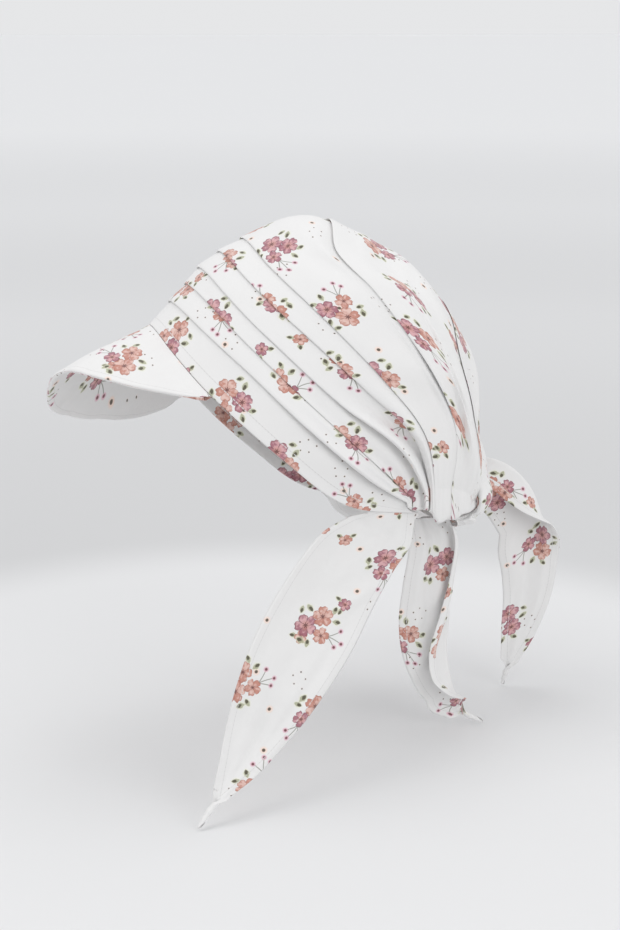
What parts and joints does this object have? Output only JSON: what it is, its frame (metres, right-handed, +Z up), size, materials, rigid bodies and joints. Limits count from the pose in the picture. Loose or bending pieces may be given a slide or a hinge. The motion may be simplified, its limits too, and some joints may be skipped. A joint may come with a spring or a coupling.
{
  "type": "beach hat",
  "caption": "Soft cotton beach hat with a tucked crown, a covered peak, a slouching back and long ties, as worn on a head.",
  "frame": {"origin": "middle of the head opening, where the hat sits on its wearer's head", "axes": "+Z up, -Y the way the peak points, +X to the wearer's left"},
  "size_m": [0.2383, 0.3491, 0.338],
  "materials": {
    "printed_cotton": "matt white cotton batiste with a small floral print"
  },
  "bodies": {
    "root": {"front_panel": "printed_cotton", "back_panel": "printed_cotton", "peak": "printed_cotton", "left_tie": "printed_cotton", "middle_tie": "printed_cotton", "right_tie": "printed_cotton"}
  },
  "joints": []
}
